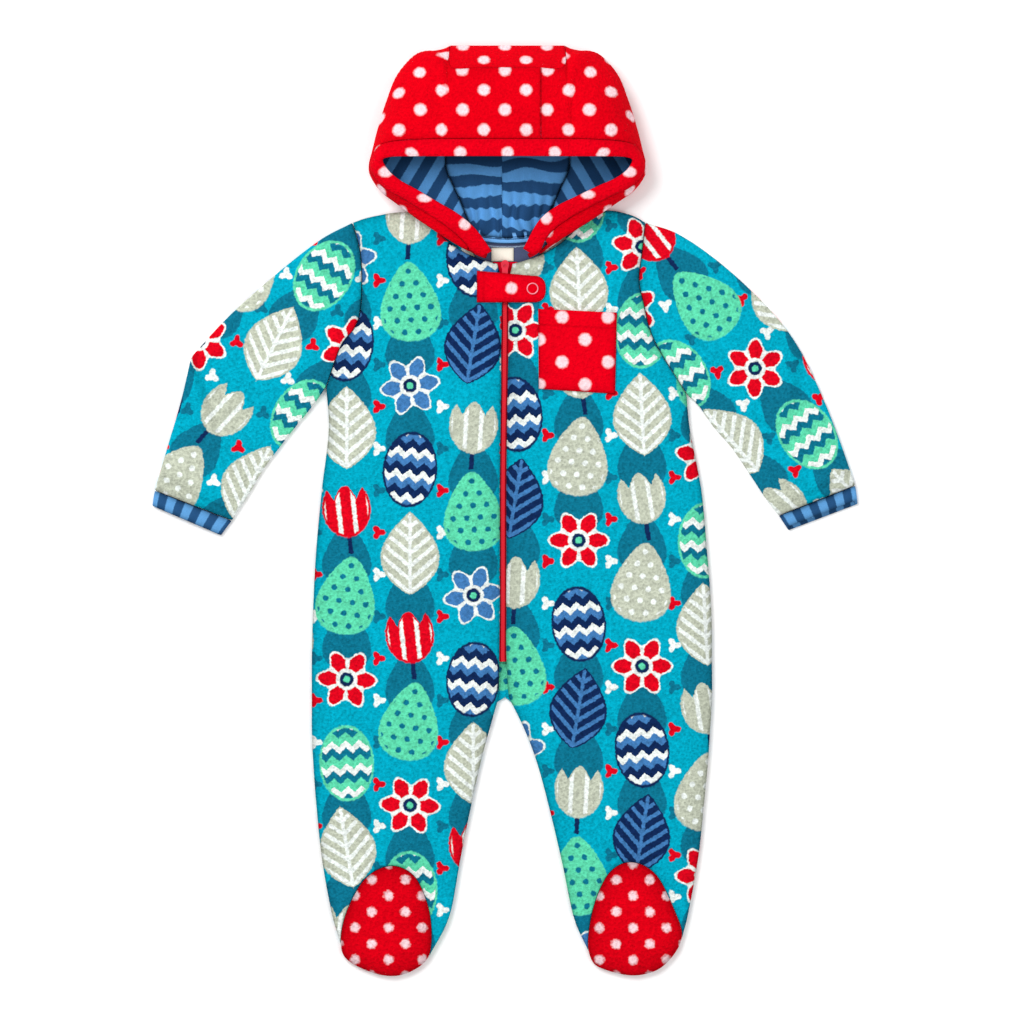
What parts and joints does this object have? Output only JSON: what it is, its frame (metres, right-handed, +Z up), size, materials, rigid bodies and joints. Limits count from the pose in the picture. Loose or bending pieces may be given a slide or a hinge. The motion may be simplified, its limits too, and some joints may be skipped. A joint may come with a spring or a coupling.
{
  "type": "footed baby sleepsuit",
  "caption": "Hooded fleece all-in-one for a baby, with feet, front zip, chin tab and chest pocket, laid flat on its back.",
  "frame": {"origin": "middle of the laid-out suit, on the surface that it lies on", "axes": "+Z up out of the surface, +Y towards the hood, the wearer's left at +X"},
  "size_m": [0.564, 0.7431, 0.0479],
  "materials": {
    "print_fleece": "teal fleece with a print",
    "red_fleece": "red fleece with dots",
    "striped_rib": "blue striped rib",
    "striped_jersey": "blue striped jersey",
    "neck_cloth": "blue tape and navy facing",
    "label_cloth": "cream, bare",
    "zip_cloth": "red zip tape",
    "zip_plastic": "red zip coil, slider and pull",
    "snap_metal": "pale ring"
  },
  "bodies": {
    "root": {"back_panel": "print_fleece", "front_right": "print_fleece", "front_left": "print_fleece", "sleeve_right": "print_fleece", "sleeve_left": "print_fleece", "cuff_right": "striped_rib", "cuff_left": "striped_rib", "vamp_right": "red_fleece", "vamp_left": "red_fleece", "sole_right": "red_fleece", "sole_left": "red_fleece", "zip_tape_right": "zip_cloth", "zip_tape_left": "zip_cloth", "zip_coil": "zip_plastic", "zip_slider": "zip_plastic", "zip_pull": "zip_plastic", "chin_tab": "red_fleece", "snap_ring": "snap_metal", "pocket": "red_fleece", "hood_side_right": "red_fleece", "hood_side_left": "red_fleece", "hood_gusset": "red_fleece", "hood_band": "red_fleece", "lining_side_right": "striped_jersey", "lining_side_left": "striped_jersey", "lining_gusset": "striped_jersey", "neck_tape": "neck_cloth", "neck_facing": "neck_cloth", "neck_label": "label_cloth"}
  },
  "joints": []
}
